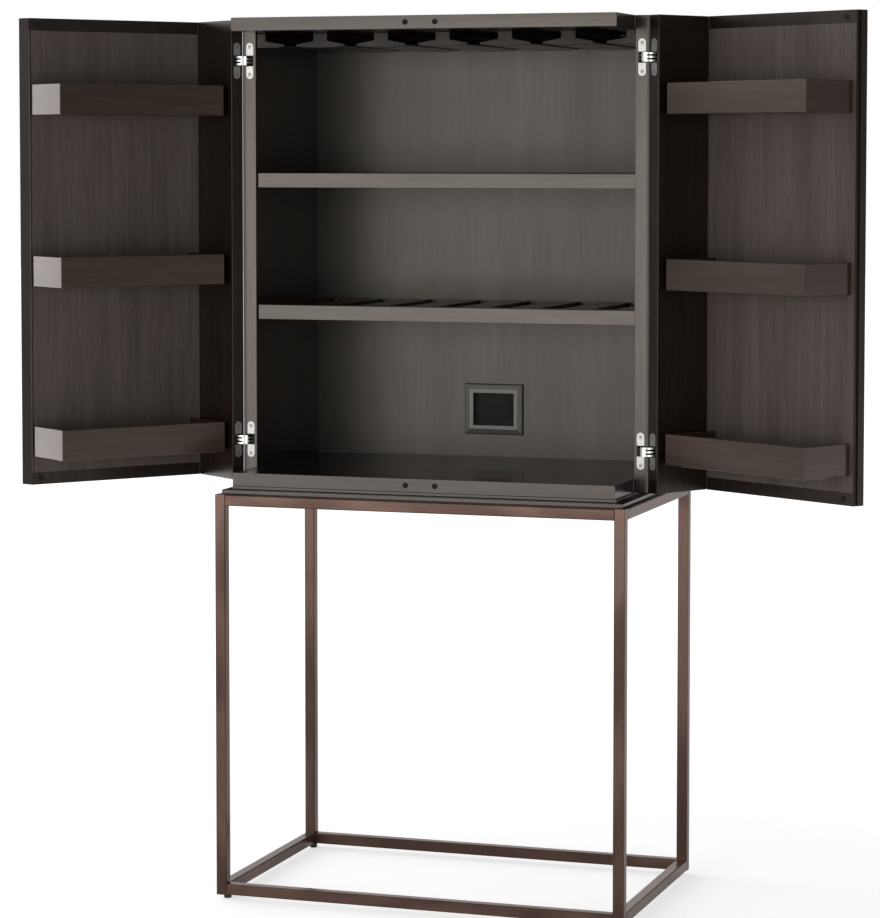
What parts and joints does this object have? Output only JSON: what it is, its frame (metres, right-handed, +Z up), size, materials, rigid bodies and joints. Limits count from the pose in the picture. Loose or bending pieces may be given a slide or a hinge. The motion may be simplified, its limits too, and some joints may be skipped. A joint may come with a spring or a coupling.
{
  "type": "wine cabinet",
  "caption": "Tall dark-wood wine cabinet on an open square-tube stand, with L-shaped bottle doors, slotted bottle shelf and hanging stemware rails.",
  "frame": {"origin": "on the floor, in the middle of the footprint of the cabinet with its doors standing open as in the picture", "axes": "+X to the right across the front, +Y to the back, +Z up"},
  "size_m": [1.6159, 0.6537, 1.7],
  "materials": {
    "dark_veneer": "satin espresso veneer, vertical grain",
    "lining_veneer": "satin espresso veneer, a little lighter inside",
    "bronze_steel": "satin bronze-brown coating",
    "nickel": "bright satin nickel",
    "black_plastic": "matt black"
  },
  "bodies": {
    "carcass": {"stand_leg_front_left": "bronze_steel", "stand_leg_front_right": "bronze_steel", "stand_leg_back_left": "bronze_steel", "stand_leg_back_right": "bronze_steel", "stand_base_rail_front": "bronze_steel", "stand_base_rail_back": "bronze_steel", "stand_base_rail_left": "bronze_steel", "stand_base_rail_right": "bronze_steel", "stand_top_rail_front": "bronze_steel", "stand_top_rail_back": "bronze_steel", "stand_top_rail_left": "bronze_steel", "stand_top_rail_right": "bronze_steel", "glide_front_left": "black_plastic", "glide_front_right": "black_plastic", "glide_back_left": "black_plastic", "glide_back_right": "black_plastic", "plinth_board": "dark_veneer", "bottom_panel": "dark_veneer", "top_panel": "dark_veneer", "side_panel_left": "dark_veneer", "side_panel_right": "dark_veneer", "back_panel": "lining_veneer", "cable_port": "dark_veneer", "upper_shelf": "dark_veneer", "bottle_shelf": "dark_veneer", "glass_rail_1": "dark_veneer", "glass_rail_2": "dark_veneer", "glass_rail_3": "dark_veneer", "glass_rail_4": "dark_veneer", "glass_rail_5": "dark_veneer", "glass_rail_wall_left": "dark_veneer", "glass_rail_wall_right": "dark_veneer", "hinge_carcass_leaf_lower_left": "nickel", "hinge_carcass_leaf_upper_left": "nickel", "hinge_carcass_leaf_lower_right": "nickel", "hinge_carcass_leaf_upper_right": "nickel"},
    "left_door": {"door_front_left": "lining_veneer", "door_return_left": "dark_veneer", "door_tray_bottom_left": "dark_veneer", "door_tray_middle_left": "dark_veneer", "door_tray_top_left": "dark_veneer", "door_tray_floor_bottom_left": "dark_veneer", "door_tray_floor_middle_left": "dark_veneer", "door_tray_floor_top_left": "dark_veneer", "hinge_door_leaf_lower_left": "nickel", "hinge_door_leaf_upper_left": "nickel"},
    "right_door": {"door_front_right": "lining_veneer", "door_return_right": "dark_veneer", "door_tray_bottom_right": "dark_veneer", "door_tray_middle_right": "dark_veneer", "door_tray_top_right": "dark_veneer", "door_tray_floor_bottom_right": "dark_veneer", "door_tray_floor_middle_right": "dark_veneer", "door_tray_floor_top_right": "dark_veneer", "hinge_door_leaf_lower_right": "nickel", "hinge_door_leaf_upper_right": "nickel"},
    "hinge_link_lower_left": {"hinge_link_lower_left": "nickel"},
    "hinge_link_upper_left": {"hinge_link_upper_left": "nickel"},
    "hinge_link_lower_right": {"hinge_link_lower_right": "nickel"},
    "hinge_link_upper_right": {"hinge_link_upper_right": "nickel"}
  },
  "joints": [
    {"name": "left_door_hinge", "type": "hinge", "parent": "carcass", "child": "left_door", "pos_m": [-0.43732, -0.01927, 1.25], "axis": [0, 0, -1], "range_deg": [-127.4, 22.6]},
    {"name": "right_door_hinge", "type": "hinge", "parent": "carcass", "child": "right_door", "pos_m": [0.38018, -0.01927, 1.25], "axis": [0, 0, 1], "range_deg": [-148.2, 1.8]},
    {"name": "link_lower_left", "type": "hinge", "parent": "carcass", "child": "hinge_link_lower_left", "pos_m": [-0.43732, -0.01927, 0.8807], "axis": [0, 0, -1], "range_deg": [-63.9, 11.5]},
    {"name": "link_upper_left", "type": "hinge", "parent": "carcass", "child": "hinge_link_upper_left", "pos_m": [-0.43732, -0.01927, 1.6212], "axis": [0, 0, -1], "range_deg": [-63.9, 11.5]},
    {"name": "link_lower_right", "type": "hinge", "parent": "carcass", "child": "hinge_link_lower_right", "pos_m": [0.38018, -0.01927, 0.8807], "axis": [0, 0, 1], "range_deg": [-74.3, 1.1]},
    {"name": "link_upper_right", "type": "hinge", "parent": "carcass", "child": "hinge_link_upper_right", "pos_m": [0.38018, -0.01927, 1.6212], "axis": [0, 0, 1], "range_deg": [-74.3, 1.1]}
  ],
  "couplings": [
    {"joint": "link_lower_left", "follows": "left_door_hinge", "ratio": 0.5},
    {"joint": "link_upper_left", "follows": "left_door_hinge", "ratio": 0.5},
    {"joint": "link_lower_right", "follows": "right_door_hinge", "ratio": 0.5},
    {"joint": "link_upper_right", "follows": "right_door_hinge", "ratio": 0.5}
  ]
}
